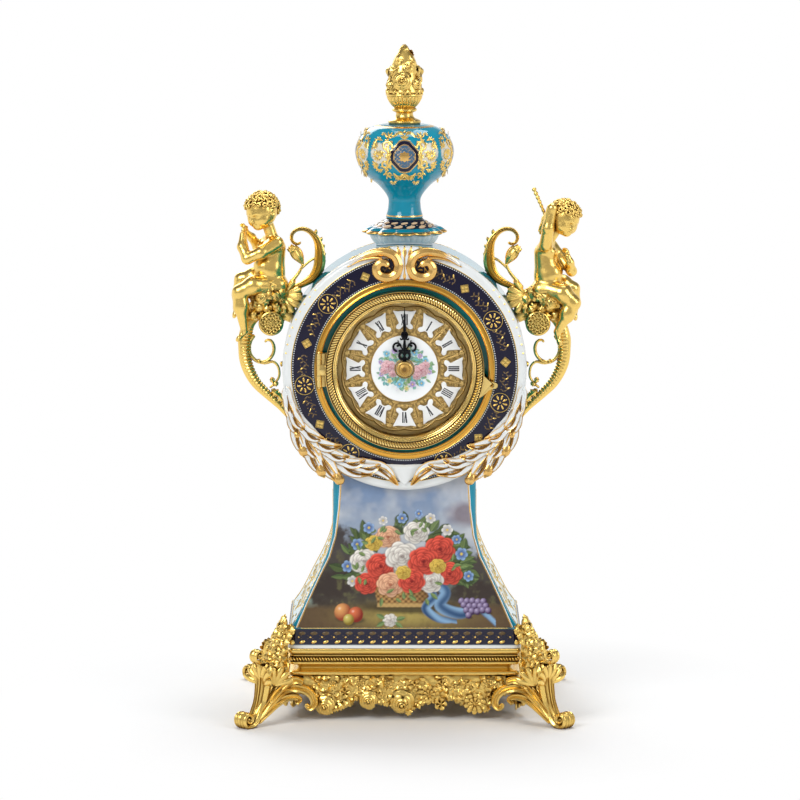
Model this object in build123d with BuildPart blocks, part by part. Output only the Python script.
from build123d import *

import math
import os

# A mantel clock of porcelain with gilt brass castings. The front faces -Y, +X is to the right of someone who
# looks at the dial, +Z is up, and the origin is on the floor under the middle. Lengths are in millimetres.

os.makedirs("parts", exist_ok=True)


# Fits that the whole clock shares
seat_gap = 0.3
turn_gap = 0.1
overrun = 2.0

# Moulded brass frame under the pedestal
frame_seat = 38.0
frame_height = 23.4
frame_half_width = 98.5
frame_half_depth = 73.5
frame_wall = 18.0
ledge_reach = 8.0
ledge_height = 8.4
frame_torus_radius = 3.2
frame_torus_set = 2.2
frame_bead_radius = 1.6
frame_bead_set = 4.5
frame_cove_set = 7.0
frame_cove_height = 9.5
frame_edge_set = 3.0
frame_edge_height = 4.0
base_plate_thickness = 3.0

# Scroll feet on the corners
foot_turn = 41.0
foot_screw_radius = 2.5
foot_screw_head_radius = 4.6
foot_screw_head_height = 3.0
foot_screw_grip = 9.0
foot_screw_inset = 14.0
foot_pad_thickness = 8.0
foot_pad_radius = 9.0
foot_reach = 56.0
foot_crest_height = 89.3
foot_breadth = 17.0
foot_corner_gap = 0.6

# Floral aprons under the frame
apron_thickness = 6.0
apron_inset = 3.0
apron_end_set = 22.5
apron_drop = 31.0
rose_radius = 10.0
rose_height = 4.5
rose_taper = 24.0

# Porcelain pedestal
band_height = 16.1
band_side_set = 0.5
band_front_set = 2.0
band_taper = 3.0
flare_side_set = 2.1
flare_front_set = 2.0
neck_half_width = 60.3
neck_half_depth = 46.0
pedestal_corner = 6.5
pedestal_wall = 7.0
neck_rise = 22.3
neck_bridge = 12.0

# Round porcelain drum, whose axis runs along Y
axis_height = 295.3
drum_radius = 102.5
drum_back_radius = 99.0
drum_front = 54.0
drum_back = 50.0
drum_taper_start = 16.0
drum_wall = 6.0
rim_round = 4.0
band_sink = 0.8
band_outer_radius = 95.0
band_inner_radius = 78.0
recess_radius = 70.5
recess_depth = 12.0
front_bore_radius = 58.0
rear_bore_radius = 52.0

# Crest and leaf sprays on the drum's face
crest_thickness = 9.0
crest_height = 27.0
crest_half_width = 46.0
crest_rise = 2.5
volute_radius = 11.6
volute_spread = 17.5
volute_eye_radius = 8.6
volute_eye_stand = 4.0
spray_thickness = 6.0
spray_breadth = 15.0
spray_outer_radius = 97.0
spray_lean = 50.0
spray_start = -8.0
spray_end = -88.0
spray_split = 0.4

# Rod that holds the drum on the pedestal
tie_rod_radius = 4.0
tie_nut_flats = 13.0
tie_nut_height = 6.5
tie_washer_radius = 11.0
tie_washer_thickness = 1.6
tie_rod_spare = 4.0

# Collar, vase and finial
collar_base_radius = 24.3
collar_rim_radius = 29.5
collar_lobe_radius = 6.8
collar_lobes = 16
collar_lobe_height = 3.6
collar_rim_height = 7.0
collar_height = 14.2
collar_cone_radius = 25.1
collar_cone_height = 7.0
collar_neck_radius = 15.4
collar_sunk_share = 1 / 3
vase_height = 79.6
vase_foot_radius = 15.6
vase_waist_radius = 13.7
vase_belly_radius = 41.6
vase_mouth_radius = 15.0
vase_waist_share = 0.16
vase_shoulder_share = 0.43
vase_belly_share = 0.68
vase_wall = 4.0
gasket_thickness = 1.0
finial_disc_radius = 13.3
finial_cup_height = 25.0
finial_cup_radius = 15.6
bouquet_height = 42.2
bouquet_radius = 16.2
finial_rod_radius = 3.0
finial_nut_flats = 10.0
finial_nut_height = 5.0
finial_rod_grip = 14.0

# Scroll brackets and the putti seated on them
bracket_reach = 39.5
bracket_rise = 60.0
bracket_thickness = 9.0
bracket_boss_radius = 10.6
bracket_boss_stand = 5.0
boss_out_share = 0.28
boss_up_share = 0.57
boss_core_share = 0.8
curl_width_share = 0.8
scroll_width = 6.0
seat_half_depth = 13.0
bracket_pad_radius = 6.5
bracket_pad_length = 7.0
bracket_pad_angles = (22.0, -31.0)
bracket_screw_radius = 2.0
bracket_screw_head_radius = 4.0
bracket_screw_head_height = 2.6
bracket_screw_grip = 5.0
sitting_height = 87.0
putto_seat_rise = 56.7
putto_seat_out = 15.0

# Case ring and bezel in the drum's recess
case_radius = 66.0
case_depth = 11.7
case_mouth_radius = 60.0
case_seat_radius = 56.8
case_spigot_inner = 53.0
case_spigot_length = 9.0
clamp_ring_thickness = 3.0
dial_seat_depth = 2.0
bezel_radius = 66.6
bezel_depth = 10.0
bezel_torus_inner = 62.0
bezel_torus_side = 2.3
bezel_band_front = 1.6
bezel_band_back = 4.5
bezel_mouth_radius = 56.5
glass_radius = 58.7
glass_thickness = 2.0
glass_set = 3.3
glass_ring_inner = 56.8
glass_fit = 0.2
hinge_out = 71.5
hinge_forward = 57.0
knuckle_radius = 2.2
hinge_pin_radius = 0.9
hinge_length = 28.0
middle_knuckle = 9.0
knuckle_gap = 0.2
hinge_pin_spare = 1.2
leaf_out = 70.0
leaf_back = 46.0
catch_drop = 10.8
catch_reach = 11.5
catch_height = 25.0
catch_thickness = 1.6
catch_hole_place_share = 0.33
catch_hole_share = 0.2

# Dial and hands
dial_radius = 56.4
dial_thickness = 1.0
plaque_outer_radius = 49.0
plaque_inner_radius = 33.0
plaque_outer_half = 9.8
plaque_inner_half = 7.2
plaque_waist_half = 5.4
plaque_thickness = 1.4
medallion_radius = 28.2
medallion_thickness = 1.2
dial_washer_radius = 7.2
dial_washer_thickness = 0.6
dial_nut_flats = 10.0
dial_nut_height = 1.8
hour_hand_length = 39.0
minute_hand_length = 53.0
hand_thickness = 0.5
hand_hub_radius = 5.0
hand_width = 2.6
hour_loop_place = 26.0
hour_loop_radius = 5.6
minute_loop_place = 35.0
minute_loop_radius = 2.6
loop_height_share = 0.8
loop_eye_place_share = 0.5
loop_eye_share = 0.25
hand_nut_radius = 4.0
hand_nut_height = 2.1

# Battery movement behind the dial
movement_half = 28.0
movement_depth = 14.8
movement_wall = 1.5
movement_corner = 4.0
back_cover_thickness = 1.2
bay_floor = 26.5
bay_roof = 10.5
bay_half_length = 26.3
bushing_radius = 4.0
bushing_bore = 2.9
bushing_length = 4.6
pipe_radius = 2.8
pipe_bore = 1.75
pipe_spare = 1.6
minute_shaft_radius = 1.65
pivot_radius = 0.8
hour_wheel_back = 2.2
hour_wheel_thickness = 1.2
minute_pinion_back = 4.5
minute_pinion_thickness = 2.0
motion_wheel_thickness = 1.2
gear_module = 0.4
minute_pinion_teeth = 12
motion_wheel_teeth = 36
motion_pinion_teeth = 10
hour_wheel_teeth = 40
tooth_root_share = 1.2
tooth_tip_share = 0.8
tooth_root_width_share = 0.5
tooth_tip_width_share = 0.18
knob_bearing = 20.0
knob_radius = 8.0
knob_height = 5.0
knob_shaft_radius = 1.2
knob_sides = 12
battery_radius = 7.1
battery_length = 49.0
battery_button_radius = 2.7
battery_button_length = 1.2
battery_axis_drop = 18.5
contact_thickness = 0.5
contact_half_width = 6.0
board_half_width = 20.0
board_low = 18.0
board_high = 25.5
board_thickness = 1.0
coil_radius = 3.0
coil_half_length = 12.0
coil_flange_radius = 3.6
coil_flange_thickness = 1.0

# Round door at the back
rear_ring_radius = 60.0
rear_ring_thickness = 2.5
rear_ring_inner = 47.0
rear_spigot_length = 8.0
rear_door_radius = 57.0
rear_door_thickness = 2.0
rear_door_lap = 3.0
rear_hinge_out = 62.5
rear_knuckle_radius = 2.0
rear_hinge_rise = 5.5
rear_hinge_length = 26.0
door_knob_radius = 4.0
door_knob_height = 7.0
door_knob_out = 47.0
door_knob_stem = 2.0

# Heights and depths that follow from the sizes above
pedestal_foot = frame_seat + frame_height
flare_foot = pedestal_foot + band_height
drum_bottom = axis_height - drum_radius
neck_foot = drum_bottom - neck_rise
flare_height = neck_foot - flare_foot
band_half_width = frame_half_width - band_side_set
band_half_depth = frame_half_depth - band_front_set
flare_half_width = band_half_width - flare_side_set
flare_half_depth = band_half_depth - flare_front_set
apron_front_half = frame_half_width - apron_end_set
apron_side_half = frame_half_depth - apron_end_set
spray_inner_radius = spray_outer_radius - spray_breadth
drum_top = axis_height + drum_radius
floor_y = recess_depth - drum_front
wall_back_y = floor_y + drum_wall
case_front_y = floor_y - case_depth
bezel_back_y = case_front_y - seat_gap
bezel_front_y = bezel_back_y - bezel_depth
dial_back_y = floor_y - dial_seat_depth
dial_front_y = dial_back_y - dial_thickness
medallion_front_y = dial_front_y - medallion_thickness
dial_nut_back_y = medallion_front_y - dial_washer_thickness
dial_nut_front_y = dial_nut_back_y - dial_nut_height
movement_inner_y = dial_back_y + movement_wall
movement_rim_y = dial_back_y + movement_depth
movement_back_y = movement_rim_y + back_cover_thickness
drum_axis = Axis((0, 0, axis_height), (0, 1, 0))
up_axis = Axis((0, 0, 0), (0, 0, 1))
radial_plane = Plane.XY.offset(axis_height)


def facing(depth, height=0.0):
    """A plane that faces the front at y = depth. Its own y is the height above the given one."""
    return Plane(origin=(0, depth, height), x_dir=(1, 0, 0), z_dir=(0, -1, 0))


def save(builder, name):
    """Labels a finished piece and writes its STEP file."""
    builder.part.label = name
    export_step(builder.part, "parts/" + name + ".step")


def spun(points):
    """The solid of a closed outline of (radius, y) points turned about the drum's axis."""
    with BuildPart() as solid:
        with BuildSketch(radial_plane):
            with BuildLine():
                Polyline(*points, close=True)
            make_face()
        revolve(axis=drum_axis)
    return solid.part


def turned(points):
    """The solid of a closed outline of (radius, height) points turned about the upright axis."""
    with BuildPart() as solid:
        with BuildSketch(Plane.XZ):
            with BuildLine():
                Polyline(*points, close=True)
            make_face()
        revolve(axis=up_axis)
    return solid.part


def drum_blank(gap):
    """The drum's outside as a solid, grown by a gap, for cutting what sits on the drum."""
    return spun(
        [
            (0, -drum_front - gap),
            (drum_radius - rim_round, -drum_front - gap),
            (drum_radius + gap, -drum_front + rim_round),
            (drum_radius + gap, drum_taper_start),
            (drum_back_radius + gap, drum_back - rim_round),
            (drum_back_radius + gap, drum_back + gap),
            (0, drum_back + gap),
        ]
    )


def limb(start, end, start_radius, end_radius):
    """A round limb with a ball at its far end, between two points."""
    run = Vector(*end) - Vector(*start)
    with BuildPart() as solid:
        with Locations(Plane(origin=start, z_dir=run.normalized())):
            Cone(start_radius, end_radius, run.length, align=(Align.CENTER, Align.CENTER, Align.MIN))
        with Locations(end):
            Sphere(end_radius)
    return solid.part


# Base frame: a moulding carried round a rectangle, with a ledge that the base plate pulls up against
frame_start = Plane(
    origin=(frame_half_width, 0, frame_seat), x_dir=(1, 0, 0), z_dir=(0, -1, 0)
)
frame_torus_foot = frame_height - 2 * frame_torus_radius
frame_bead_foot = frame_torus_foot - 2 * frame_bead_radius
foot_screw_places = [
    (side * (frame_half_width - foot_screw_inset), end * (frame_half_depth - foot_screw_inset))
    for side in (-1, 1)
    for end in (-1, 1)
]
with BuildPart() as base_frame:
    with BuildLine() as frame_path:
        Polyline(
            (frame_half_width, 0, frame_seat),
            (frame_half_width, frame_half_depth, frame_seat),
            (-frame_half_width, frame_half_depth, frame_seat),
            (-frame_half_width, -frame_half_depth, frame_seat),
            (frame_half_width, -frame_half_depth, frame_seat),
            close=True,
        )
    with BuildSketch(frame_start):
        with BuildLine():
            Polyline((-frame_wall, 0), (-frame_edge_set, 0))
            ThreePointArc(
                (-frame_edge_set, 0),
                (-frame_edge_set + frame_edge_height / 2, frame_edge_height / 2),
                (-frame_edge_set, frame_edge_height),
            )
            Line((-frame_edge_set, frame_edge_height), (-frame_cove_set, frame_edge_height))
            ThreePointArc(
                (-frame_cove_set, frame_edge_height),
                (-frame_cove_set, frame_cove_height),
                (-frame_bead_set, frame_bead_foot),
            )
            ThreePointArc(
                (-frame_bead_set, frame_bead_foot),
                (-frame_bead_set + frame_bead_radius, frame_bead_foot + frame_bead_radius),
                (-frame_bead_set, frame_torus_foot),
            )
            Line((-frame_bead_set, frame_torus_foot), (-frame_torus_set, frame_torus_foot))
            ThreePointArc(
                (-frame_torus_set, frame_torus_foot),
                (0, frame_torus_foot + frame_torus_radius),
                (-frame_torus_set, frame_height),
            )
            Polyline(
                (-frame_torus_set, frame_height),
                (-frame_wall - ledge_reach, frame_height),
                (-frame_wall - ledge_reach, frame_height - ledge_height),
                (-frame_wall, frame_height - ledge_height),
                (-frame_wall, 0),
            )
        make_face()
    sweep(path=frame_path.wires()[0], transition=Transition.RIGHT)
    with BuildSketch(Plane.XY.offset(frame_seat)):
        with Locations(*foot_screw_places):
            Circle(foot_screw_radius)
    extrude(amount=foot_screw_grip, mode=Mode.SUBTRACT)
save(base_frame, "base_frame")

# Base plate: pulled up under the frame's ledge by the tie rod
plate_top = pedestal_foot - ledge_height
with BuildPart() as base_plate:
    with BuildSketch(Plane.XY.offset(plate_top - base_plate_thickness)):
        Rectangle(
            2 * (frame_half_width - frame_wall - seat_gap),
            2 * (frame_half_depth - frame_wall - seat_gap),
        )
        Circle(tie_rod_radius + turn_gap, mode=Mode.SUBTRACT)
    extrude(amount=base_plate_thickness)
save(base_plate, "base_plate")


# Scroll feet: a cabriole form on the frame's diagonal, a crest outside the corner and a pad under the frame
foot_section_shares = (
    (0.00, 0.78, 0.21, 0.66),
    (0.13, 0.77, 0.23, 0.70),
    (0.25, 0.46, 0.24, 0.74),
    (0.43, 0.25, 0.24, 0.90),
    (0.66, 0.29, 0.30, 1.10),
    (0.84, 0.15, 0.18, 0.86),
    (1.00, 0.08, 0.07, 0.34),
)


def foot(side, end, name):
    """One foot. The shares give height, outward place, half length and half breadth of each section."""
    corner = (side * frame_half_width, end * frame_half_depth)
    bearing = math.radians(foot_turn)
    out = Vector(side * math.cos(bearing), end * math.sin(bearing), 0)
    with BuildPart() as casting:
        for height, place, half_length, half_breadth in foot_section_shares:
            middle = Vector(corner[0], corner[1], foot_crest_height * height) + out * (foot_reach * place)
            with BuildSketch(Plane(origin=middle, x_dir=out, z_dir=(0, 0, 1))):
                Ellipse(foot_reach * half_length, foot_breadth * half_breadth)
        loft()
        with BuildSketch(Plane.XY.offset(frame_seat - foot_pad_thickness)):
            with Locations((corner[0] - side * foot_screw_inset, corner[1] - end * foot_screw_inset)):
                Circle(foot_pad_radius)
            with Locations(corner):
                Circle(foot_pad_radius)
            make_hull()
        extrude(amount=foot_pad_thickness)
        with BuildSketch(Plane.XY.offset(frame_seat)):
            Rectangle(
                2 * (frame_half_width + foot_corner_gap),
                2 * (frame_half_depth + foot_corner_gap),
            )
        extrude(amount=foot_crest_height, mode=Mode.SUBTRACT)
        with BuildSketch(Plane.XY.offset(frame_seat - foot_pad_thickness)):
            with Locations((corner[0] - side * foot_screw_inset, corner[1] - end * foot_screw_inset)):
                Circle(foot_screw_radius + turn_gap)
        extrude(amount=foot_pad_thickness, mode=Mode.SUBTRACT)
    save(casting, name)


for side_word, side in (("left", -1), ("right", 1)):
    for end_word, end in (("front", -1), ("rear", 1)):
        foot(side, end, "foot_" + end_word + "_" + side_word)

with BuildPart() as foot_screws:
    with BuildSketch(Plane.XY.offset(frame_seat - foot_pad_thickness)):
        with Locations(*foot_screw_places):
            Circle(foot_screw_head_radius)
    extrude(amount=-foot_screw_head_height)
    with BuildSketch(Plane.XY.offset(frame_seat - foot_pad_thickness)):
        with Locations(*foot_screw_places):
            Circle(foot_screw_radius)
    extrude(amount=foot_pad_thickness + foot_screw_grip)
save(foot_screws, "foot_screws")

# Floral aprons: a scalloped lower edge with roses in relief, under each side of the frame
apron_edge_shares = (
    (1.0, 0.52),
    (0.88, 0.62),
    (0.76, 1.0),
    (0.60, 0.86),
    (0.44, 0.68),
    (0.22, 0.80),
    (0.0, 1.0),
)
rose_place_shares = (
    (-0.76, 0.62, 1.0),
    (-0.27, 0.50, 0.85),
    (0.0, 0.55, 1.15),
    (0.27, 0.50, 0.85),
    (0.76, 0.62, 1.0),
)


def apron(base_plane, half_length, name):
    """One apron on a plane whose own x runs along the side and whose own y is the height."""
    right = [(half_length * along, -apron_drop * drop) for along, drop in apron_edge_shares]
    left = [(-along, height) for along, height in reversed(right[:-1])]
    with BuildPart() as casting:
        with BuildSketch(base_plane):
            with BuildLine():
                Polyline(left[-1], (-half_length, 0), (half_length, 0), right[0])
                Spline(*right, *left)
            make_face()
        extrude(amount=apron_thickness)
        for along, drop, size in rose_place_shares:
            with BuildSketch(base_plane.offset(apron_thickness)):
                with Locations((half_length * along, -apron_drop * drop)):
                    Circle(rose_radius * size)
            extrude(amount=rose_height, taper=rose_taper)
    save(casting, name)


apron_y = frame_half_depth - apron_inset - apron_thickness
apron_x = frame_half_width - apron_inset - apron_thickness
apron(Plane((0, -apron_y, frame_seat), x_dir=(1, 0, 0), z_dir=(0, -1, 0)), apron_front_half, "apron_front")
apron(Plane((0, apron_y, frame_seat), x_dir=(-1, 0, 0), z_dir=(0, 1, 0)), apron_front_half, "apron_rear")
apron(Plane((-apron_x, 0, frame_seat), x_dir=(0, -1, 0), z_dir=(-1, 0, 0)), apron_side_half, "apron_left")
apron(Plane((apron_x, 0, frame_seat), x_dir=(0, 1, 0), z_dir=(1, 0, 0)), apron_side_half, "apron_right")

# Pedestal: a straight band, a flared body and a neck that is saddled to the drum
flare_shares = ((0.0, 1.0), (0.13, 0.78), (0.344, 0.51), (0.58, 0.21), (0.785, 0.04), (1.0, 0.0))


def pedestal_outline(share, inset):
    """A rounded rectangle between the neck's and the flare's size, drawn in by an inset."""
    RectangleRounded(
        2 * (neck_half_width + (flare_half_width - neck_half_width) * share - inset),
        2 * (neck_half_depth + (flare_half_depth - neck_half_depth) * share - inset),
        pedestal_corner,
    )


with BuildPart() as pedestal:
    with BuildSketch(Plane.XY.offset(pedestal_foot)):
        RectangleRounded(2 * band_half_width, 2 * band_half_depth, pedestal_corner)
    extrude(amount=band_height, taper=band_taper)
    for height, share in flare_shares:
        with BuildSketch(Plane.XY.offset(flare_foot + flare_height * height)):
            pedestal_outline(share, 0)
    loft()
    with BuildSketch(Plane.XY.offset(neck_foot)):
        pedestal_outline(0, 0)
    extrude(amount=axis_height - neck_foot)
    for height, share in flare_shares:
        with BuildSketch(Plane.XY.offset(flare_foot + flare_height * height)):
            pedestal_outline(share, pedestal_wall)
    loft(mode=Mode.SUBTRACT)
    with BuildSketch(Plane.XY.offset(pedestal_foot - overrun)):
        pedestal_outline(1, pedestal_wall)
    extrude(amount=band_height + overrun, mode=Mode.SUBTRACT)
    with BuildSketch(Plane.XY.offset(neck_foot)):
        pedestal_outline(0, pedestal_wall)
    extrude(amount=drum_bottom - neck_bridge - neck_foot, mode=Mode.SUBTRACT)
    add(drum_blank(seat_gap), mode=Mode.SUBTRACT)
    with BuildSketch(Plane.XY.offset(pedestal_foot)):
        Circle(tie_rod_radius + seat_gap)
    extrude(amount=axis_height, mode=Mode.SUBTRACT)
save(pedestal, "pedestal")


# Drum case: a porcelain shell turned about the drum's axis, with the recess for the bezel and a rear mouth
def across_wall(side, angle):
    """A plane on the drum's side at y = 0, facing out from the axis, at an angle above the level."""
    bearing = math.radians(angle)
    out = Vector(side * math.cos(bearing), 0, math.sin(bearing))
    foot_point = Vector(0, 0, axis_height) + out * (drum_radius - drum_wall)
    return Plane(origin=foot_point, x_dir=(0, 1, 0), z_dir=out)


with BuildPart() as drum_case:
    with BuildSketch(radial_plane):
        with BuildLine():
            Polyline(
                (band_inner_radius, -drum_front + band_sink),
                (band_outer_radius, -drum_front + band_sink),
                (band_outer_radius, -drum_front),
                (drum_radius - rim_round, -drum_front),
            )
            RadiusArc(
                (drum_radius - rim_round, -drum_front),
                (drum_radius, -drum_front + rim_round),
                -rim_round,
            )
            Polyline(
                (drum_radius, -drum_front + rim_round),
                (drum_radius, drum_taper_start),
                (drum_back_radius, drum_back - rim_round),
            )
            RadiusArc(
                (drum_back_radius, drum_back - rim_round),
                (drum_back_radius - rim_round, drum_back),
                -rim_round,
            )
            Polyline(
                (drum_back_radius - rim_round, drum_back),
                (rear_bore_radius, drum_back),
                (rear_bore_radius, drum_back - drum_wall),
                (drum_back_radius - drum_wall, drum_back - drum_wall),
                (drum_radius - drum_wall, drum_taper_start),
                (drum_radius - drum_wall, wall_back_y),
                (front_bore_radius, wall_back_y),
                (front_bore_radius, floor_y),
                (recess_radius, floor_y),
                (recess_radius, -drum_front + band_sink),
            )
            ThreePointArc(
                (recess_radius, -drum_front + band_sink),
                ((recess_radius + band_inner_radius) / 2, -drum_front),
                (band_inner_radius, -drum_front + band_sink),
            )
        make_face()
    revolve(axis=drum_axis)
    with BuildSketch(Plane.XY.offset(drum_bottom)):
        Circle(tie_rod_radius + seat_gap)
    extrude(amount=drum_wall + overrun, mode=Mode.SUBTRACT)
    with BuildSketch(Plane.XY.offset(drum_top)):
        Circle(finial_rod_radius + seat_gap)
    extrude(amount=-drum_wall - overrun, mode=Mode.SUBTRACT)
    for side in (-1, 1):
        for angle in bracket_pad_angles:
            with BuildSketch(across_wall(side, angle)):
                Circle(bracket_screw_radius + turn_gap)
            extrude(amount=drum_wall + overrun, mode=Mode.SUBTRACT)
            with BuildSketch(across_wall(side, angle)):
                Circle(bracket_screw_radius + turn_gap)
            extrude(amount=-overrun, mode=Mode.SUBTRACT)
save(drum_case, "drum_case")

# Crest scroll: two volutes beside a fluted shell, with leaf tails along the rim
crest_low = drum_top - crest_height
crest_end = axis_height + math.sqrt(drum_radius**2 - crest_half_width**2) + crest_rise
crest_tails = ((-crest_half_width, crest_end), (crest_half_width, crest_end))
volute_centres = [(side * volute_spread, crest_low + volute_eye_radius) for side in (-1, 1)]
with BuildPart() as crest_scroll:
    with BuildSketch(facing(-drum_front)):
        with BuildLine():
            ThreePointArc(crest_tails[0], (0, drum_top + crest_rise), crest_tails[1])
            ThreePointArc(crest_tails[1], (0, drum_top - crest_rise), crest_tails[0])
        make_face()
        with Locations(*volute_centres):
            Circle(volute_radius)
        with Locations((0, crest_low + crest_height / 2)):
            Rectangle(2 * volute_spread, crest_height)
    extrude(amount=crest_thickness)
    with BuildSketch(facing(-drum_front - crest_thickness)):
        with Locations(*volute_centres):
            Circle(volute_eye_radius)
    extrude(amount=volute_eye_stand, taper=rose_taper)
save(crest_scroll, "crest_scroll")


# Leaf sprays: a stem round the lower half of the drum's face, with acanthus leaves that lean off it
spray_leaf_shares = (
    (-14.0, 0.34),
    (-30.0, 0.40),
    (-43.0, 0.46),
    (-55.0, 0.50),
    (-66.0, 0.50),
    (-77.0, 0.46),
)


def polar(radius, angle, side):
    """A point on the drum's face at a radius and an angle in degrees below or above the level."""
    bearing = math.radians(angle)
    return (side * radius * math.cos(bearing), radius * math.sin(bearing))


def spray(side, name):
    """One spray. Each leaf is an ellipse, given by its angle and its width as a share of its length."""
    band = spray_outer_radius - spray_inner_radius
    middle = (spray_outer_radius + spray_inner_radius) / 2
    half_turn = (spray_start + spray_end) / 2
    with BuildPart() as relief:
        with BuildSketch(facing(-drum_front, axis_height)):
            with BuildLine():
                ThreePointArc(
                    polar(spray_outer_radius, spray_start, side),
                    polar(spray_outer_radius, half_turn, side),
                    polar(spray_outer_radius, spray_end, side),
                )
                Line(polar(spray_outer_radius, spray_end, side), polar(spray_inner_radius, spray_end, side))
                ThreePointArc(
                    polar(spray_inner_radius, spray_end, side),
                    polar(middle, half_turn, side),
                    polar(spray_outer_radius, spray_start, side),
                )
            make_face()
            for angle, share in spray_leaf_shares:
                with Locations(polar(spray_outer_radius, angle, side)):
                    Ellipse(band, band * share, rotation=side * (angle - spray_lean))
        extrude(amount=spray_thickness)
        with BuildSketch(facing(-drum_front, axis_height)):
            with Locations((-side * spray_outer_radius, 0)):
                Rectangle(2 * spray_outer_radius + spray_split, 4 * spray_outer_radius)
        extrude(amount=spray_thickness, mode=Mode.SUBTRACT)
    save(relief, name)


spray(-1, "leaf_spray_left")
spray(1, "leaf_spray_right")

# Tie rod, washers and nuts that clamp the base plate, frame, pedestal and drum together
inner_radius = drum_radius - drum_wall
upper_washer_seat = axis_height - math.sqrt(inner_radius**2 - tie_washer_radius**2)
tie_rod_bottom = plate_top - base_plate_thickness - tie_washer_thickness - tie_nut_height - tie_rod_spare
tie_rod_top = upper_washer_seat + tie_washer_thickness + tie_nut_height + tie_rod_spare
washer_feet = (plate_top - base_plate_thickness - tie_washer_thickness, upper_washer_seat)
tie_nut_feet = (
    plate_top - base_plate_thickness - tie_washer_thickness - tie_nut_height,
    upper_washer_seat + tie_washer_thickness,
)
with BuildPart() as tie_rod:
    with BuildSketch(Plane.XY.offset(tie_rod_bottom)):
        Circle(tie_rod_radius)
    extrude(amount=tie_rod_top - tie_rod_bottom)
save(tie_rod, "tie_rod")

with BuildPart() as tie_rod_washers:
    for foot_level in washer_feet:
        with BuildSketch(Plane.XY.offset(foot_level)):
            Circle(tie_washer_radius)
            Circle(tie_rod_radius, mode=Mode.SUBTRACT)
        extrude(amount=tie_washer_thickness)
save(tie_rod_washers, "tie_rod_washers")

with BuildPart() as tie_rod_nuts:
    for foot_level in tie_nut_feet:
        with BuildSketch(Plane.XY.offset(foot_level)):
            RegularPolygon(tie_nut_flats / 2, 6, major_radius=False)
            Circle(tie_rod_radius, mode=Mode.SUBTRACT)
        extrude(amount=tie_nut_height)
save(tie_rod_nuts, "tie_rod_nuts")

# Collar: a lobed porcelain rim on a foot that is saddled to the drum, with a low cone inside
rim_top = drum_top + collar_height - collar_cone_height * collar_sunk_share
collar_cone_foot = rim_top
collar_top = rim_top + collar_cone_height
with BuildPart() as collar:
    with BuildSketch(Plane.XY.offset(axis_height)):
        Circle(collar_base_radius)
    extrude(amount=drum_radius)
    with BuildSketch(Plane.XY.offset(drum_top)):
        Circle(collar_base_radius)
    with BuildSketch(Plane.XY.offset(rim_top - collar_rim_height)):
        Circle(collar_rim_radius)
    loft()
    with BuildSketch(Plane.XY.offset(rim_top)):
        Circle(collar_rim_radius)
        with PolarLocations(collar_rim_radius, collar_lobes):
            Circle(collar_lobe_radius)
    extrude(amount=-collar_lobe_height)
    with BuildSketch(Plane.XY.offset(collar_cone_foot)):
        Circle(collar_cone_radius)
    with BuildSketch(Plane.XY.offset(collar_top)):
        Circle(collar_neck_radius)
    loft()
    add(drum_blank(seat_gap), mode=Mode.SUBTRACT)
    with BuildSketch(Plane.XY.offset(axis_height)):
        Circle(finial_rod_radius + seat_gap)
    extrude(amount=axis_height, mode=Mode.SUBTRACT)
save(collar, "collar")

# Vase: a hollow porcelain bulb on a slim waist
vase_foot = collar_top + gasket_thickness
vase_top = vase_foot + vase_height
waist_height = vase_height * vase_waist_share
shoulder_height = vase_height * vase_shoulder_share
belly_height = vase_height * vase_belly_share
with BuildPart() as vase:
    with BuildSketch(Plane.XZ):
        with BuildLine():
            Line((0, vase_foot), (vase_foot_radius, vase_foot))
            Spline(
                (vase_foot_radius, vase_foot),
                (vase_waist_radius, vase_foot + waist_height),
                ((vase_waist_radius + vase_belly_radius) / 2, vase_foot + shoulder_height),
                (vase_belly_radius, vase_foot + belly_height),
                (vase_mouth_radius, vase_top),
            )
            Line((vase_mouth_radius, vase_top), (0, vase_top))
            Line((0, vase_top), (0, vase_foot))
        make_face()
    revolve(axis=up_axis)
    with BuildSketch(Plane.XZ):
        with BuildLine():
            Line((0, vase_foot + vase_wall), (vase_foot_radius - vase_wall, vase_foot + vase_wall))
            Spline(
                (vase_foot_radius - vase_wall, vase_foot + vase_wall),
                (vase_waist_radius - vase_wall, vase_foot + waist_height),
                ((vase_waist_radius + vase_belly_radius) / 2 - vase_wall, vase_foot + shoulder_height),
                (vase_belly_radius - vase_wall, vase_foot + belly_height),
                (vase_mouth_radius, vase_top - vase_wall),
            )
            Line((vase_mouth_radius, vase_top - vase_wall), (0, vase_top - vase_wall))
            Line((0, vase_top - vase_wall), (0, vase_foot + vase_wall))
        make_face()
    revolve(axis=up_axis, mode=Mode.SUBTRACT)
    with BuildSketch(Plane.XY.offset(vase_foot)):
        Circle(finial_rod_radius + seat_gap)
    extrude(amount=vase_height, mode=Mode.SUBTRACT)
save(vase, "vase")

# Soft gaskets above and below the vase
cup_foot = vase_top + gasket_thickness
gasket_seats = ((collar_top, collar_neck_radius), (vase_top, finial_disc_radius))
with BuildPart() as gaskets:
    for gasket_foot, gasket_radius in gasket_seats:
        with BuildSketch(Plane.XY.offset(gasket_foot)):
            Circle(gasket_radius)
            Circle(finial_rod_radius + seat_gap, mode=Mode.SUBTRACT)
        extrude(amount=gasket_thickness)
save(gaskets, "gaskets")

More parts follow.
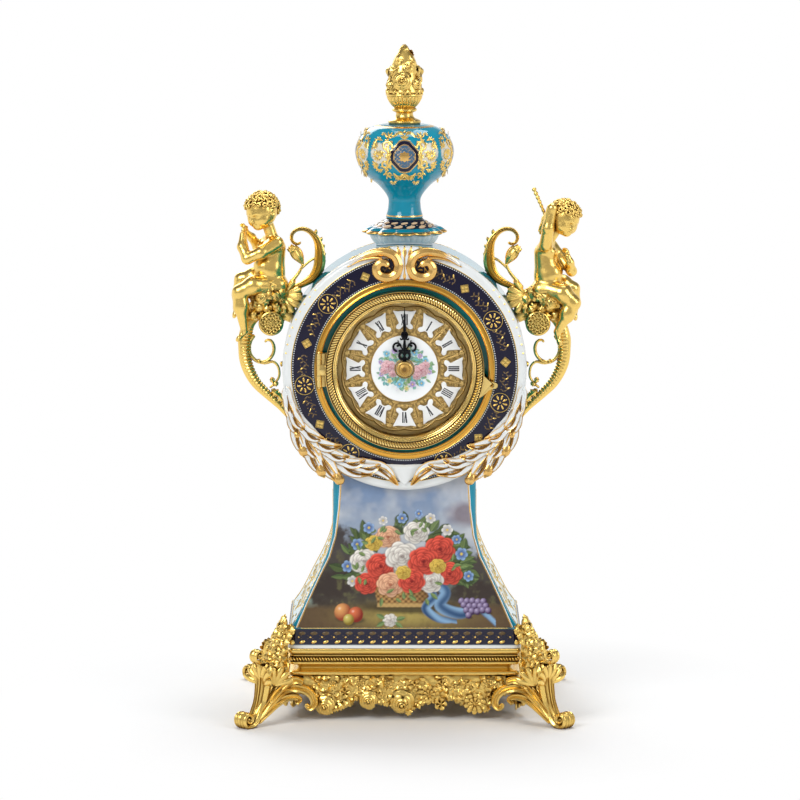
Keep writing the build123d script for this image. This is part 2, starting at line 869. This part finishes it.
# Finial cup: a brass disc, a waisted stem and a fluted bowl with the rod's threaded hole
cup_top = cup_foot + finial_cup_height
cup_outline_shares = (
    (0.0, 0.85),
    (0.10, 0.85),
    (0.24, 0.49),
    (0.42, 0.50),
    (0.50, 0.66),
    (0.58, 0.60),
    (0.80, 0.86),
    (1.0, 1.0),
)
cup_outline = [
    (finial_cup_radius * wide, cup_foot + finial_cup_height * up)
    for up, wide in cup_outline_shares
]
with BuildPart() as finial_cup:
    add(turned([(0, cup_foot)] + cup_outline + [(0, cup_top)]))
    with BuildSketch(Plane.XY.offset(cup_foot)):
        Circle(finial_rod_radius)
    extrude(amount=finial_rod_grip, mode=Mode.SUBTRACT)
save(finial_cup, "finial_cup")

# Finial bouquet: a flame of three tiers of blossoms rising from the cup
bouquet_neck_shares = ((0.0, 0.72), (0.34, 0.80), (0.62, 0.68), (0.82, 0.44), (1.0, 0.08))
bouquet_bulge_shares = ((0.16, 1.0), (0.48, 0.94), (0.72, 0.72), (0.92, 0.32))


def bouquet_point(up, wide):
    """A point on the bouquet's outline, from shares of its height and radius."""
    return (bouquet_radius * wide, cup_top + bouquet_height * up)


with BuildPart() as finial_bouquet:
    with BuildSketch(Plane.XZ):
        with BuildLine():
            Line((0, cup_top), bouquet_point(*bouquet_neck_shares[0]))
            for low, bulge, high in zip(bouquet_neck_shares, bouquet_bulge_shares, bouquet_neck_shares[1:]):
                ThreePointArc(bouquet_point(*low), bouquet_point(*bulge), bouquet_point(*high))
            Line(bouquet_point(*bouquet_neck_shares[-1]), (0, cup_top + bouquet_height))
            Line((0, cup_top + bouquet_height), (0, cup_top))
        make_face()
    revolve(axis=up_axis)
save(finial_bouquet, "finial_bouquet")

# Finial rod: threaded into the cup, held by a nut inside the drum's roof
roof_seat = axis_height + math.sqrt(inner_radius**2 - (finial_nut_flats / 2) ** 2)
with BuildPart() as finial_rod:
    with BuildSketch(Plane.XY.offset(roof_seat - finial_nut_height - tie_rod_spare)):
        Circle(finial_rod_radius)
    extrude(amount=cup_foot + finial_rod_grip - roof_seat + finial_nut_height + tie_rod_spare)
save(finial_rod, "finial_rod")

with BuildPart() as finial_nut:
    with BuildSketch(Plane.XY.offset(roof_seat - finial_nut_height)):
        RegularPolygon(finial_nut_flats / 2, 6, major_radius=False)
        Circle(finial_rod_radius, mode=Mode.SUBTRACT)
    extrude(amount=finial_nut_height - seat_gap)
save(finial_nut, "finial_nut")

# Scroll brackets: an open scroll casting with a ribbed tail, a flower boss and a seat for the figure
tail_outer_shares = ((0.02, -0.80), (0.36, -0.52), (0.72, -0.20), (0.96, 0.05), (1.0, 0.30), (0.90, 0.46))
tail_inner_shares = ((0.72, 0.40), (0.80, 0.22), (0.74, 0.05), (0.54, -0.16), (0.22, -0.46), (-0.10, -0.76))
scroll_shares = (
    (0.05, 0.92),
    (-0.48, 1.20),
    (-0.66, 1.45),
    (-0.52, 1.74),
    (-0.22, 1.84),
    (-0.08, 1.70),
    (-0.20, 1.62),
)
curl_shares = ((0.92, 0.02), (0.50, -0.02), (0.22, 0.06), (0.24, 0.26), (0.50, 0.36))
seat_shares = (
    (-0.10, 0.55),
    (0.10, 0.80),
    (0.50, 0.84),
    (0.88, 0.70),
    (0.96, 0.46),
    (0.60, 0.38),
    (0.24, 0.34),
)


def bracket_points(side, shares):
    """Points on the drum's middle plane, as shares of the bracket's reach and rise from the drum's side."""
    return [
        (side * (drum_radius + bracket_reach * out), axis_height + bracket_rise * up) for out, up in shares
    ]


def bracket(side, name):
    """One bracket. Its pads follow the drum's wall and take a screw each from inside the drum."""
    outer = bracket_points(side, tail_outer_shares)
    inner = bracket_points(side, tail_inner_shares)
    boss = bracket_points(side, [(boss_out_share, boss_up_share)])[0]
    with BuildPart() as casting:
        with BuildSketch(facing(bracket_thickness / 2)):
            with BuildLine():
                Spline(*outer)
                Line(outer[-1], inner[0])
                Spline(*inner)
                Line(inner[-1], outer[0])
            make_face()
            with BuildLine():
                Spline(*bracket_points(side, scroll_shares))
            trace(line_width=scroll_width)
            with BuildLine():
                Spline(*bracket_points(side, curl_shares))
            trace(line_width=scroll_width * curl_width_share)
            with Locations(boss):
                Circle(bracket_boss_radius)
        extrude(amount=bracket_thickness)
        with BuildSketch(facing(seat_half_depth)):
            with BuildLine():
                Spline(*bracket_points(side, seat_shares), periodic=True)
            make_face()
        extrude(amount=2 * seat_half_depth)
        with BuildSketch(facing(-bracket_thickness / 2)):
            with Locations(boss):
                Circle(bracket_boss_radius * boss_core_share)
        extrude(amount=bracket_boss_stand + seat_half_depth - bracket_thickness / 2)
        for angle in bracket_pad_angles:
            with BuildSketch(across_wall(side, angle)):
                Circle(bracket_pad_radius)
            extrude(amount=drum_wall + bracket_pad_length)
        add(drum_blank(seat_gap), mode=Mode.SUBTRACT)
        for angle in bracket_pad_angles:
            with BuildSketch(across_wall(side, angle)):
                Circle(bracket_screw_radius)
            extrude(amount=drum_wall + bracket_screw_grip, mode=Mode.SUBTRACT)
    save(casting, name)
    return casting.part


bracket_left = bracket(-1, "bracket_left")
bracket_right = bracket(1, "bracket_right")

with BuildPart() as bracket_screws:
    for side in (-1, 1):
        for angle in bracket_pad_angles:
            with BuildSketch(across_wall(side, angle).offset(-bracket_screw_head_height - seat_gap)):
                Circle(bracket_screw_head_radius)
            extrude(amount=bracket_screw_head_height)
            with BuildSketch(across_wall(side, angle).offset(-bracket_screw_head_height - seat_gap)):
                Circle(bracket_screw_radius)
            extrude(amount=bracket_screw_head_height + seat_gap + drum_wall + bracket_screw_grip)
save(bracket_screws, "bracket_screws")

# Putti: seated child figures of a general kind. Joints are (outward, forward, upward) shares of the sitting
# height from the seat, and limbs are (start, end, start radius, end radius) with radii as shares of it too.
left_figure = {
    "hips": (-0.02, 0.00, 0.13),
    "chest": (-0.03, 0.01, 0.46),
    "neck": (-0.04, 0.03, 0.63),
    "head": (0.03, 0.06, 0.84),
    "near_elbow": (0.20, 0.14, 0.38),
    "far_elbow": (0.17, -0.12, 0.40),
    "hands": (0.22, 0.04, 0.65),
    "near_knee": (0.27, 0.12, 0.10),
    "far_knee": (0.26, -0.12, 0.16),
    "near_foot": (0.22, 0.12, -0.34),
    "far_foot": (0.32, -0.10, -0.14),
}
right_figure = {
    "hips": (0.01, 0.00, 0.10),
    "chest": (0.04, 0.01, 0.42),
    "neck": (0.06, 0.03, 0.58),
    "head": (0.19, 0.05, 0.77),
    "near_elbow": (0.25, 0.14, 0.24),
    "far_elbow": (0.00, -0.08, 0.58),
    "hands": (0.22, 0.16, 0.42),
    "near_knee": (0.28, 0.12, -0.04),
    "far_knee": (0.24, -0.12, 0.06),
    "near_foot": (0.13, 0.12, -0.42),
    "far_foot": (0.31, -0.10, -0.18),
}
raised_hand_shares = (0.04, 0.0, 0.86)
head_share = 0.155
arm_shares = (0.060, 0.048, 0.040)
leg_shares = (0.100, 0.072, 0.050)
torso_sections = ((0.00, 0.17, 0.15), (0.35, 0.145, 0.125), (0.72, 0.165, 0.120), (1.00, 0.075, 0.070))


def putto(side, figure, raised, seat_casting, name):
    """One figure: a lofted trunk, a round head, and limbs that taper to the wrists and ankles."""
    seat_point = (side * (drum_radius + putto_seat_out), 0, axis_height + putto_seat_rise)
    joints = {
        joint: (
            seat_point[0] + side * sitting_height * out,
            seat_point[1] - sitting_height * forward,
            seat_point[2] + sitting_height * up,
        )
        for joint, (out, forward, up) in figure.items()
    }
    hips = Vector(*joints["hips"])
    neck = Vector(*joints["neck"])
    upper_arm, elbow, wrist = (sitting_height * share for share in arm_shares)
    thigh, knee, ankle = (sitting_height * share for share in leg_shares)
    raised_hand = (
        seat_point[0] + side * sitting_height * raised[0],
        seat_point[1] - sitting_height * raised[1],
        seat_point[2] + sitting_height * raised[2],
    )
    with BuildPart() as trunk:
        for along, wide, deep in torso_sections:
            with BuildSketch(Plane(origin=hips + (neck - hips) * along, x_dir=(1, 0, 0), z_dir=neck - hips)):
                Ellipse(sitting_height * wide, sitting_height * deep)
        loft()
    with BuildPart() as casting:
        add(trunk.part)
        with Locations(joints["hips"]):
            Sphere(sitting_height * torso_sections[0][1])
        with Locations(joints["head"]):
            Sphere(sitting_height * head_share)
        add(limb(joints["neck"], joints["head"], elbow, wrist))
        for reach in ("near", "far"):
            hand = joints["hands"] if reach == "near" else raised_hand
            add(limb(joints["chest"], joints[reach + "_elbow"], upper_arm, elbow))
            add(limb(joints[reach + "_elbow"], hand, elbow, wrist))
            add(limb(joints["hips"], joints[reach + "_knee"], thigh, knee))
            add(limb(joints[reach + "_knee"], joints[reach + "_foot"], knee, ankle))
        add(seat_casting, mode=Mode.SUBTRACT)
        add(drum_blank(seat_gap), mode=Mode.SUBTRACT)
    save(casting, name)


putto(-1, left_figure, left_figure["hands"], bracket_left, "putto_left")
putto(1, right_figure, raised_hand_shares, bracket_right, "putto_right")

# Case ring: a brass flange on the recess floor, with a spigot through the drum's mouth
with BuildPart() as case_ring:
    add(
        spun(
            [
                (case_spigot_inner, floor_y + case_spigot_length),
                (front_bore_radius - seat_gap, floor_y + case_spigot_length),
                (front_bore_radius - seat_gap, floor_y),
                (case_radius, floor_y),
                (case_radius, case_front_y),
                (case_mouth_radius, case_front_y),
                (case_seat_radius, dial_front_y),
                (case_seat_radius, dial_back_y),
                (case_spigot_inner, dial_back_y),
            ]
        )
    )
save(case_ring, "case_ring")

# Clamp ring: screwed on the spigot behind the porcelain wall
with BuildPart() as clamp_ring:
    add(
        spun(
            [
                (front_bore_radius - seat_gap, wall_back_y),
                (case_radius, wall_back_y),
                (case_radius, wall_back_y + clamp_ring_thickness),
                (front_bore_radius - seat_gap, wall_back_y + clamp_ring_thickness),
            ]
        )
    )
save(clamp_ring, "clamp_ring")

# Bezel: a plain torus outside a band that slopes to the glass, with the middle knuckle of the hinge
bezel_torus_y = bezel_front_y + bezel_torus_side
glass_front_y = bezel_back_y - glass_set
hinge_place = (-hinge_out, -hinge_forward)
knuckle_arm = hinge_out - bezel_torus_inner - bezel_torus_side
leaf_breadth = leaf_out - bezel_radius - seat_gap
with BuildPart() as bezel:
    with BuildSketch(radial_plane):
        with BuildLine():
            Polyline(
                (bezel_torus_inner, bezel_torus_y),
                (bezel_torus_inner, bezel_front_y + bezel_band_front),
                (bezel_mouth_radius, bezel_front_y + bezel_band_back),
                (bezel_mouth_radius, glass_front_y),
                (glass_radius + glass_fit, glass_front_y),
                (glass_radius + glass_fit, bezel_back_y),
                (bezel_radius, bezel_back_y),
                (bezel_radius, bezel_torus_y),
            )
            ThreePointArc(
                (bezel_radius, bezel_torus_y),
                ((bezel_radius + bezel_torus_inner) / 2, bezel_front_y),
                (bezel_torus_inner, bezel_torus_y),
            )
        make_face()
    revolve(axis=drum_axis)
    with BuildSketch(Plane.XY.offset(axis_height - middle_knuckle / 2)):
        with Locations(hinge_place):
            Circle(knuckle_radius)
        with Locations(hinge_place):
            Rectangle(knuckle_arm, knuckle_radius, align=(Align.MIN, Align.MAX))
    extrude(amount=middle_knuckle)
    with BuildSketch(Plane.XY.offset(axis_height - middle_knuckle / 2)):
        with Locations(hinge_place):
            Circle(hinge_pin_radius + turn_gap / 2)
    extrude(amount=middle_knuckle, mode=Mode.SUBTRACT)
save(bezel, "bezel")

# Hinge leaf: two outer knuckles on blocks that follow the case ring's side
outer_knuckle = (hinge_length - middle_knuckle) / 2 - knuckle_gap
with BuildPart() as hinge_leaf:
    for end in (-1, 1):
        knuckle_foot = axis_height + end * (middle_knuckle / 2 + knuckle_gap)
        with BuildSketch(Plane.XY.offset(knuckle_foot)):
            with Locations(hinge_place):
                Circle(knuckle_radius)
            with Locations((-leaf_out, -leaf_back)):
                Rectangle(leaf_breadth, hinge_forward - leaf_back, align=(Align.MIN, Align.MAX))
        extrude(amount=end * outer_knuckle)
        with BuildSketch(Plane.XY.offset(knuckle_foot)):
            with Locations(hinge_place):
                Circle(hinge_pin_radius)
        extrude(amount=end * outer_knuckle, mode=Mode.SUBTRACT)
    with BuildSketch(Plane.XY.offset(axis_height - hinge_length / 2)):
        with Locations((-leaf_out, case_front_y)):
            Rectangle(leaf_out - bezel_torus_inner, -case_front_y - leaf_back, align=(Align.MIN, Align.MIN))
    extrude(amount=hinge_length)
    add(
        spun(
            [
                (recess_radius - seat_gap, -drum_front - seat_gap),
                (drum_radius, -drum_front - seat_gap),
                (drum_radius, 0),
                (recess_radius - seat_gap, 0),
            ]
        ),
        mode=Mode.SUBTRACT,
    )
    add(
        spun([(0, 0), (case_radius, 0), (case_radius, bezel_front_y), (0, bezel_front_y)]),
        mode=Mode.SUBTRACT,
    )
save(hinge_leaf, "hinge_leaf")

with BuildPart() as hinge_pin:
    with BuildSketch(Plane.XY.offset(axis_height - hinge_length / 2 - hinge_pin_spare)):
        with Locations(hinge_place):
            Circle(hinge_pin_radius)
    extrude(amount=hinge_length + 2 * hinge_pin_spare)
save(hinge_pin, "hinge_pin")

# Glass and the wire ring that holds it in the bezel
with BuildPart() as glass:
    with BuildSketch(facing(glass_front_y + glass_thickness, axis_height)):
        Circle(glass_radius)
    extrude(amount=glass_thickness)
save(glass, "glass")

with BuildPart() as glass_ring:
    add(
        spun(
            [
                (glass_ring_inner, glass_front_y + glass_thickness),
                (glass_radius + glass_fit, glass_front_y + glass_thickness),
                (glass_radius + glass_fit, bezel_back_y),
                (glass_ring_inner, bezel_back_y),
            ]
        )
    )
save(glass_ring, "glass_ring")

# Thumb catch: a pierced triangular lug on the bezel's right side
catch_height_at = axis_height - catch_drop
with BuildPart() as thumb_catch:
    with BuildSketch(facing(bezel_torus_y + catch_thickness)):
        with BuildLine():
            Polyline(
                (bezel_torus_inner, catch_height_at + catch_height / 2),
                (bezel_radius + catch_reach, catch_height_at),
                (bezel_torus_inner, catch_height_at - catch_height / 2),
                close=True,
            )
        make_face()
        with Locations((bezel_radius + catch_reach * catch_hole_place_share, catch_height_at)):
            Circle(catch_reach * catch_hole_share, mode=Mode.SUBTRACT)
    extrude(amount=catch_thickness)
    add(
        spun([(0, 0), (bezel_radius, 0), (bezel_radius, bezel_front_y), (0, bezel_front_y)]),
        mode=Mode.SUBTRACT,
    )
save(thumb_catch, "thumb_catch")

# Dial plate, twelve numeral plaques and the painted medallion
with BuildPart() as dial_plate:
    with BuildSketch(facing(dial_back_y, axis_height)):
        Circle(dial_radius)
        Circle(bushing_radius + turn_gap, mode=Mode.SUBTRACT)
    extrude(amount=dial_thickness)
save(dial_plate, "dial_plate")

plaque_waist = (plaque_outer_radius + plaque_inner_radius) / 2
with BuildSketch() as plaque:
    with BuildLine():
        ThreePointArc(
            (plaque_inner_half, plaque_inner_radius),
            (plaque_waist_half, plaque_waist),
            (plaque_outer_half, plaque_outer_radius),
        )
        ThreePointArc(
            (plaque_outer_half, plaque_outer_radius),
            (0, plaque_outer_radius - plaque_thickness),
            (-plaque_outer_half, plaque_outer_radius),
        )
        ThreePointArc(
            (-plaque_outer_half, plaque_outer_radius),
            (-plaque_waist_half, plaque_waist),
            (-plaque_inner_half, plaque_inner_radius),
        )
        ThreePointArc(
            (-plaque_inner_half, plaque_inner_radius),
            (0, plaque_inner_radius + plaque_thickness / 2),
            (plaque_inner_half, plaque_inner_radius),
        )
    make_face()
with BuildPart() as numeral_plaques:
    with BuildSketch(facing(dial_front_y, axis_height)):
        with PolarLocations(0, 12):
            add(plaque.sketch)
    extrude(amount=plaque_thickness)
save(numeral_plaques, "numeral_plaques")

with BuildPart() as dial_medallion:
    with BuildSketch(facing(dial_front_y, axis_height)):
        Circle(medallion_radius)
        Circle(bushing_radius + turn_gap, mode=Mode.SUBTRACT)
    extrude(amount=medallion_thickness)
save(dial_medallion, "dial_medallion")

# Flanged nut on the movement's bushing, which clamps the dial to the movement
with BuildPart() as dial_nut:
    with BuildSketch(facing(medallion_front_y, axis_height)):
        Circle(dial_washer_radius)
        Circle(bushing_radius, mode=Mode.SUBTRACT)
    extrude(amount=dial_washer_thickness)
    with BuildSketch(facing(dial_nut_back_y, axis_height)):
        RegularPolygon(dial_nut_flats / 2, 6, major_radius=False)
        Circle(bushing_radius, mode=Mode.SUBTRACT)
    extrude(amount=dial_nut_height)
save(dial_nut, "dial_nut")

# Battery movement: a housing with a gear bay above a battery bay, and the bushing that carries the dial
bay_middle_drop = (bay_floor + bay_roof) / 2
with BuildPart() as movement_housing:
    with BuildSketch(facing(dial_back_y, axis_height)):
        RectangleRounded(2 * movement_half, 2 * movement_half, movement_corner)
    extrude(amount=-movement_depth)
    with BuildSketch(facing(movement_inner_y, axis_height)):
        with Locations((0, (movement_half - movement_wall - bay_roof + movement_wall) / 2)):
            Rectangle(2 * (movement_half - movement_wall), movement_half + bay_roof - 2 * movement_wall)
        with Locations((0, -bay_middle_drop)):
            Rectangle(2 * bay_half_length, bay_floor - bay_roof)
    extrude(amount=-movement_depth, mode=Mode.SUBTRACT)
    with BuildSketch(facing(dial_back_y, axis_height)):
        Circle(bushing_radius)
    extrude(amount=bushing_length)
    with BuildSketch(facing(movement_inner_y, axis_height)):
        Circle(bushing_bore)
    extrude(amount=movement_wall + bushing_length, mode=Mode.SUBTRACT)
save(movement_housing, "movement_housing")

# Wheels: the minute pinion drives the motion wheel, whose pinion drives the hour wheel
wheel_distance = gear_module * (minute_pinion_teeth + motion_wheel_teeth) / 2
hour_module = 2 * wheel_distance / (motion_pinion_teeth + hour_wheel_teeth)
motion_centre = (0, wheel_distance)
knob_bearing_angle = math.radians(knob_bearing)
knob_centre = (
    wheel_distance * math.cos(knob_bearing_angle),
    wheel_distance + wheel_distance * math.sin(knob_bearing_angle),
)


def gear_outline(teeth, module, start):
    """Corner points of a gear with straight-sided teeth, whose first tooth points at the start angle."""
    pitch_radius = module * teeth / 2
    step = 2 * math.pi / teeth
    points = []
    for tooth in range(teeth):
        middle = start + tooth * step
        for turn, reach in (
            (-tooth_root_width_share / 2, -tooth_root_share),
            (-tooth_tip_width_share / 2, tooth_tip_share),
            (tooth_tip_width_share / 2, tooth_tip_share),
            (tooth_root_width_share / 2, -tooth_root_share),
        ):
            radius = pitch_radius + module * reach
            angle = middle + turn * step
            points.append((radius * math.cos(angle), radius * math.sin(angle)))
    return points


def gear(plane_y, centre, teeth, module, start, thickness, bore):
    """A gear as a solid, on a plane that faces the front."""
    with BuildPart() as solid:
        with BuildSketch(facing(plane_y, axis_height)):
            with Locations(centre):
                Polygon(*gear_outline(teeth, module, start), align=None)
                if bore > 0:
                    Circle(bore, mode=Mode.SUBTRACT)
        extrude(amount=thickness)
    return solid.part


def shaft(centre, radius, back_y, front_y):
    """A round shaft as a solid between two depths."""
    with BuildPart() as solid:
        with BuildSketch(facing(back_y, axis_height)):
            with Locations(centre):
                Circle(radius)
        extrude(amount=back_y - front_y)
    return solid.part


quarter = math.pi / 2
minute_pinion_y = movement_inner_y + minute_pinion_back + minute_pinion_thickness
hour_wheel_y = movement_inner_y + hour_wheel_back
pipe_front_y = dial_nut_front_y - pipe_spare
hour_hand_back_y = pipe_front_y + 2 * hand_thickness
minute_hand_back_y = pipe_front_y - 2 * hand_thickness
hand_nut_back_y = minute_hand_back_y - hand_thickness
with BuildPart() as minute_arbor:
    add(gear(minute_pinion_y, (0, 0), minute_pinion_teeth, gear_module, quarter, minute_pinion_thickness, 0))
    add(shaft((0, 0), minute_shaft_radius, minute_pinion_y, hand_nut_back_y - hand_nut_height))
    add(shaft((0, 0), pivot_radius, movement_back_y, minute_pinion_y))
save(minute_arbor, "minute_arbor")

motion_gap_start = quarter * 3 + math.pi / motion_wheel_teeth
with BuildPart() as motion_wheel:
    add(
        gear(
            minute_pinion_y,
            motion_centre,
            motion_wheel_teeth,
            gear_module,
            motion_gap_start,
            motion_wheel_thickness,
            0,
        )
    )
    add(
        gear(
            minute_pinion_y - motion_wheel_thickness,
            motion_centre,
            motion_pinion_teeth,
            hour_module,
            quarter * 3,
            minute_pinion_y - motion_wheel_thickness - hour_wheel_y + hour_wheel_thickness,
            0,
        )
    )
    add(shaft(motion_centre, pivot_radius, movement_back_y, movement_inner_y))
save(motion_wheel, "motion_wheel")

with BuildPart() as hour_wheel:
    add(
        gear(
            hour_wheel_y,
            (0, 0),
            hour_wheel_teeth,
            hour_module,
            quarter + math.pi / hour_wheel_teeth,
            hour_wheel_thickness,
            pipe_bore,
        )
    )
    with BuildSketch(facing(hour_wheel_y, axis_height)):
        Circle(pipe_radius)
        Circle(pipe_bore, mode=Mode.SUBTRACT)
    extrude(amount=hour_wheel_y - pipe_front_y)
save(hour_wheel, "hour_wheel")

# Setting knob: its pinion meshes with the motion wheel's far side, and its shaft leaves through the cover
knob_line = math.atan2(motion_centre[1] - knob_centre[1], motion_centre[0] - knob_centre[0])
motion_step = 2 * math.pi / motion_wheel_teeth
facing_turn = (knob_line + math.pi - motion_gap_start) / motion_step
knob_step = 2 * math.pi / minute_pinion_teeth
knob_start = knob_line + (0.5 - (facing_turn - math.floor(facing_turn))) * -knob_step
with BuildPart() as setting_knob:
    add(
        gear(
            minute_pinion_y,
            knob_centre,
            minute_pinion_teeth,
            gear_module,
            knob_start,
            motion_wheel_thickness,
            0,
        )
    )
    add(shaft(knob_centre, knob_shaft_radius, movement_back_y + knob_height, minute_pinion_y))
    with BuildSketch(facing(movement_back_y + knob_height + seat_gap, axis_height)):
        with Locations(knob_centre):
            RegularPolygon(knob_radius, knob_sides)
    extrude(amount=knob_height)
save(setting_knob, "setting_knob")

with BuildPart() as back_cover:
    with BuildSketch(facing(movement_rim_y, axis_height)):
        with Locations((0, (movement_half - bay_roof + movement_wall / 2) / 2)):
            Rectangle(2 * movement_half, movement_half + bay_roof - movement_wall / 2)
        Circle(pivot_radius + turn_gap / 2, mode=Mode.SUBTRACT)
        with Locations(motion_centre):
            Circle(pivot_radius + turn_gap / 2, mode=Mode.SUBTRACT)
        with Locations(knob_centre):
            Circle(knob_shaft_radius + turn_gap / 2, mode=Mode.SUBTRACT)
    extrude(amount=-back_cover_thickness)
save(back_cover, "back_cover")

# Battery in its bay, with a contact at each end
battery_y = movement_inner_y + turn_gap + battery_radius
battery_level = axis_height - battery_axis_drop
with BuildPart() as battery:
    with BuildSketch(Plane(origin=(-battery_length / 2, battery_y, battery_level), z_dir=(1, 0, 0))):
        Circle(battery_radius)
    extrude(amount=battery_length)
    with BuildSketch(Plane(origin=(battery_length / 2, battery_y, battery_level), z_dir=(1, 0, 0))):
        Circle(battery_button_radius)
    extrude(amount=battery_button_length)
save(battery, "battery")

with BuildPart() as battery_contacts:
    for side in (-1, 1):
        with Locations((side * (bay_half_length - contact_thickness / 2), battery_y, battery_level)):
            Box(contact_thickness, 2 * contact_half_width, 2 * contact_half_width)
save(battery_contacts, "battery_contacts")

# Circuit board on the housing's front wall, with the coil on it
with BuildPart() as circuit_board:
    with BuildSketch(facing(movement_inner_y, axis_height)):
        with Locations((0, (board_low + board_high) / 2)):
            Rectangle(2 * board_half_width, board_high - board_low)
    extrude(amount=-board_thickness)
save(circuit_board, "circuit_board")

coil_y = movement_inner_y + board_thickness + coil_flange_radius
coil_level = axis_height + (board_low + board_high) / 2
with BuildPart() as coil:
    with BuildSketch(Plane(origin=(-coil_half_length, coil_y, coil_level), z_dir=(1, 0, 0))):
        Circle(coil_radius)
    extrude(amount=2 * coil_half_length)
    for start in (-coil_half_length, coil_half_length - coil_flange_thickness):
        with BuildSketch(Plane(origin=(start, coil_y, coil_level), z_dir=(1, 0, 0))):
            Circle(coil_flange_radius)
        extrude(amount=coil_flange_thickness)
save(coil, "coil")


# Hands: pierced serpentine blades with a round loop and a leaf point
def hand(back_y, length, loop_place, loop_radius, bore, name):
    """One hand that points at twelve, with a loop along its blade."""
    with BuildPart() as blade:
        with BuildSketch(facing(back_y, axis_height)):
            with BuildLine():
                Polyline((-hand_width / 2, 0), (0, length), (hand_width / 2, 0), close=True)
            make_face()
            Circle(hand_hub_radius)
            with Locations((0, loop_place)):
                Ellipse(loop_radius, loop_radius * loop_height_share)
            eye_place = loop_radius * loop_eye_place_share
            with Locations((eye_place, loop_place), (-eye_place, loop_place)):
                Circle(loop_radius * loop_eye_share, mode=Mode.SUBTRACT)
            Circle(bore, mode=Mode.SUBTRACT)
        extrude(amount=hand_thickness)
    save(blade, name)


hand(hour_hand_back_y, hour_hand_length, hour_loop_place, hour_loop_radius, pipe_radius, "hour_hand")
hand(
    minute_hand_back_y,
    minute_hand_length,
    minute_loop_place,
    minute_loop_radius,
    minute_shaft_radius,
    "minute_hand",
)
with BuildPart() as hand_nut:
    with BuildSketch(facing(hand_nut_back_y, axis_height)):
        Circle(hand_nut_radius)
        Circle(minute_shaft_radius, mode=Mode.SUBTRACT)
    extrude(amount=hand_nut_height)
save(hand_nut, "hand_nut")

# Rear ring with two hinge lugs, and the round door with the middle knuckle
rear_face_y = drum_back + rear_ring_thickness
door_back_y = rear_face_y + seat_gap
rear_hinge_y = drum_back + rear_hinge_rise
rear_hinge_place = (-rear_hinge_out, rear_hinge_y)
rear_arm = rear_hinge_out - rear_door_radius + rear_door_lap
with BuildPart() as rear_ring:
    add(
        spun(
            [
                (rear_ring_inner, drum_back - rear_spigot_length),
                (rear_bore_radius - seat_gap, drum_back - rear_spigot_length),
                (rear_bore_radius - seat_gap, drum_back),
                (rear_ring_radius, drum_back),
                (rear_ring_radius, rear_face_y),
                (rear_ring_inner, rear_face_y),
            ]
        )
    )
    for end in (-1, 1):
        knuckle_foot = axis_height + end * (middle_knuckle / 2 + knuckle_gap)
        with BuildSketch(Plane.XY.offset(knuckle_foot)):
            with Locations(rear_hinge_place):
                Circle(rear_knuckle_radius)
            with Locations((-rear_hinge_out - rear_knuckle_radius, drum_back)):
                Rectangle(
                    rear_hinge_out + rear_knuckle_radius - rear_door_radius - seat_gap,
                    rear_hinge_rise,
                    align=(Align.MIN, Align.MIN),
                )
        extrude(amount=end * ((rear_hinge_length - middle_knuckle) / 2 - knuckle_gap))
        with BuildSketch(Plane.XY.offset(knuckle_foot)):
            with Locations(rear_hinge_place):
                Circle(hinge_pin_radius)
        extrude(amount=end * ((rear_hinge_length - middle_knuckle) / 2 - knuckle_gap), mode=Mode.SUBTRACT)
save(rear_ring, "rear_ring")

with BuildPart() as rear_door:
    with BuildSketch(facing(door_back_y, axis_height)):
        Circle(rear_door_radius)
    extrude(amount=-rear_door_thickness)
    with BuildSketch(Plane.XY.offset(axis_height - middle_knuckle / 2)):
        with Locations(rear_hinge_place):
            Circle(rear_knuckle_radius)
        with Locations((-rear_hinge_out, rear_hinge_y)):
            Rectangle(rear_arm, rear_hinge_y - door_back_y, align=(Align.MIN, Align.MAX))
    extrude(amount=middle_knuckle)
    with BuildSketch(Plane.XY.offset(axis_height - middle_knuckle / 2)):
        with Locations(rear_hinge_place):
            Circle(hinge_pin_radius + turn_gap / 2)
    extrude(amount=middle_knuckle, mode=Mode.SUBTRACT)
save(rear_door, "rear_door")

with BuildPart() as rear_hinge_pin:
    with BuildSketch(Plane.XY.offset(axis_height - rear_hinge_length / 2 - hinge_pin_spare)):
        with Locations(rear_hinge_place):
            Circle(hinge_pin_radius)
    extrude(amount=rear_hinge_length + 2 * hinge_pin_spare)
save(rear_hinge_pin, "rear_hinge_pin")

with BuildPart() as door_knob:
    with BuildSketch(facing(door_back_y + rear_door_thickness, axis_height)):
        with Locations((door_knob_out, 0)):
            Circle(door_knob_stem)
    extrude(amount=-door_knob_height)
    with BuildSketch(facing(door_back_y + rear_door_thickness + door_knob_height / 2, axis_height)):
        with Locations((door_knob_out, 0)):
            Circle(door_knob_radius)
    extrude(amount=-door_knob_height / 2)
save(door_knob, "door_knob")
